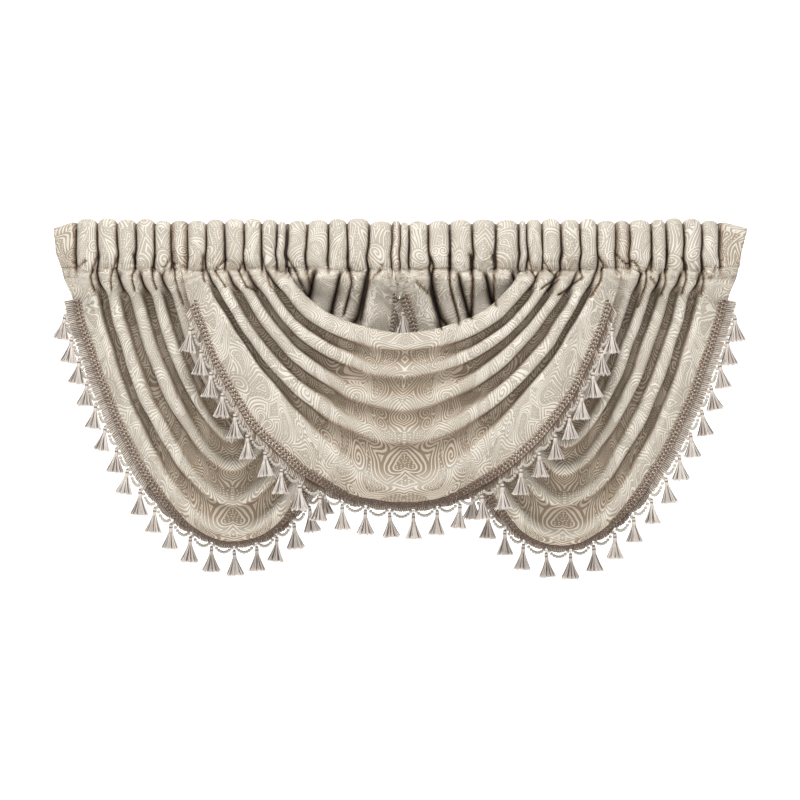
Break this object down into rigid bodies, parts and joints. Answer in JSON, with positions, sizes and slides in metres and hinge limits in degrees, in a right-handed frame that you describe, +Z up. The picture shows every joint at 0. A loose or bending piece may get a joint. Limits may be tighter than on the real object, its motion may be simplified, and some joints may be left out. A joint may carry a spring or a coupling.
{
  "type": "swag valance drape",
  "caption": "Gathered rod-pocket window valance with overlapping draped swags, braid and a tasselled fringe along each hem.",
  "frame": {"origin": "middle of the heading's top edge, over the rod pocket", "axes": "+X along the rod to the right as seen from the room, -Y towards the room, +Z up"},
  "size_m": [1.2446, 0.1198, 0.6439],
  "materials": {
    "jacquard": "cream figured jacquard on a taupe satin ground",
    "braid": "brown and cream woven braid",
    "fringe": "taupe and cream looped yarn with tassels"
  },
  "bodies": {
    "root": {"heading": "jacquard", "swag_left": "jacquard", "swag_centre": "jacquard", "swag_right": "jacquard", "braid_left": "braid", "braid_centre": "braid", "braid_right": "braid", "fringe_left": "fringe", "fringe_centre": "fringe", "fringe_right": "fringe"}
  },
  "joints": []
}
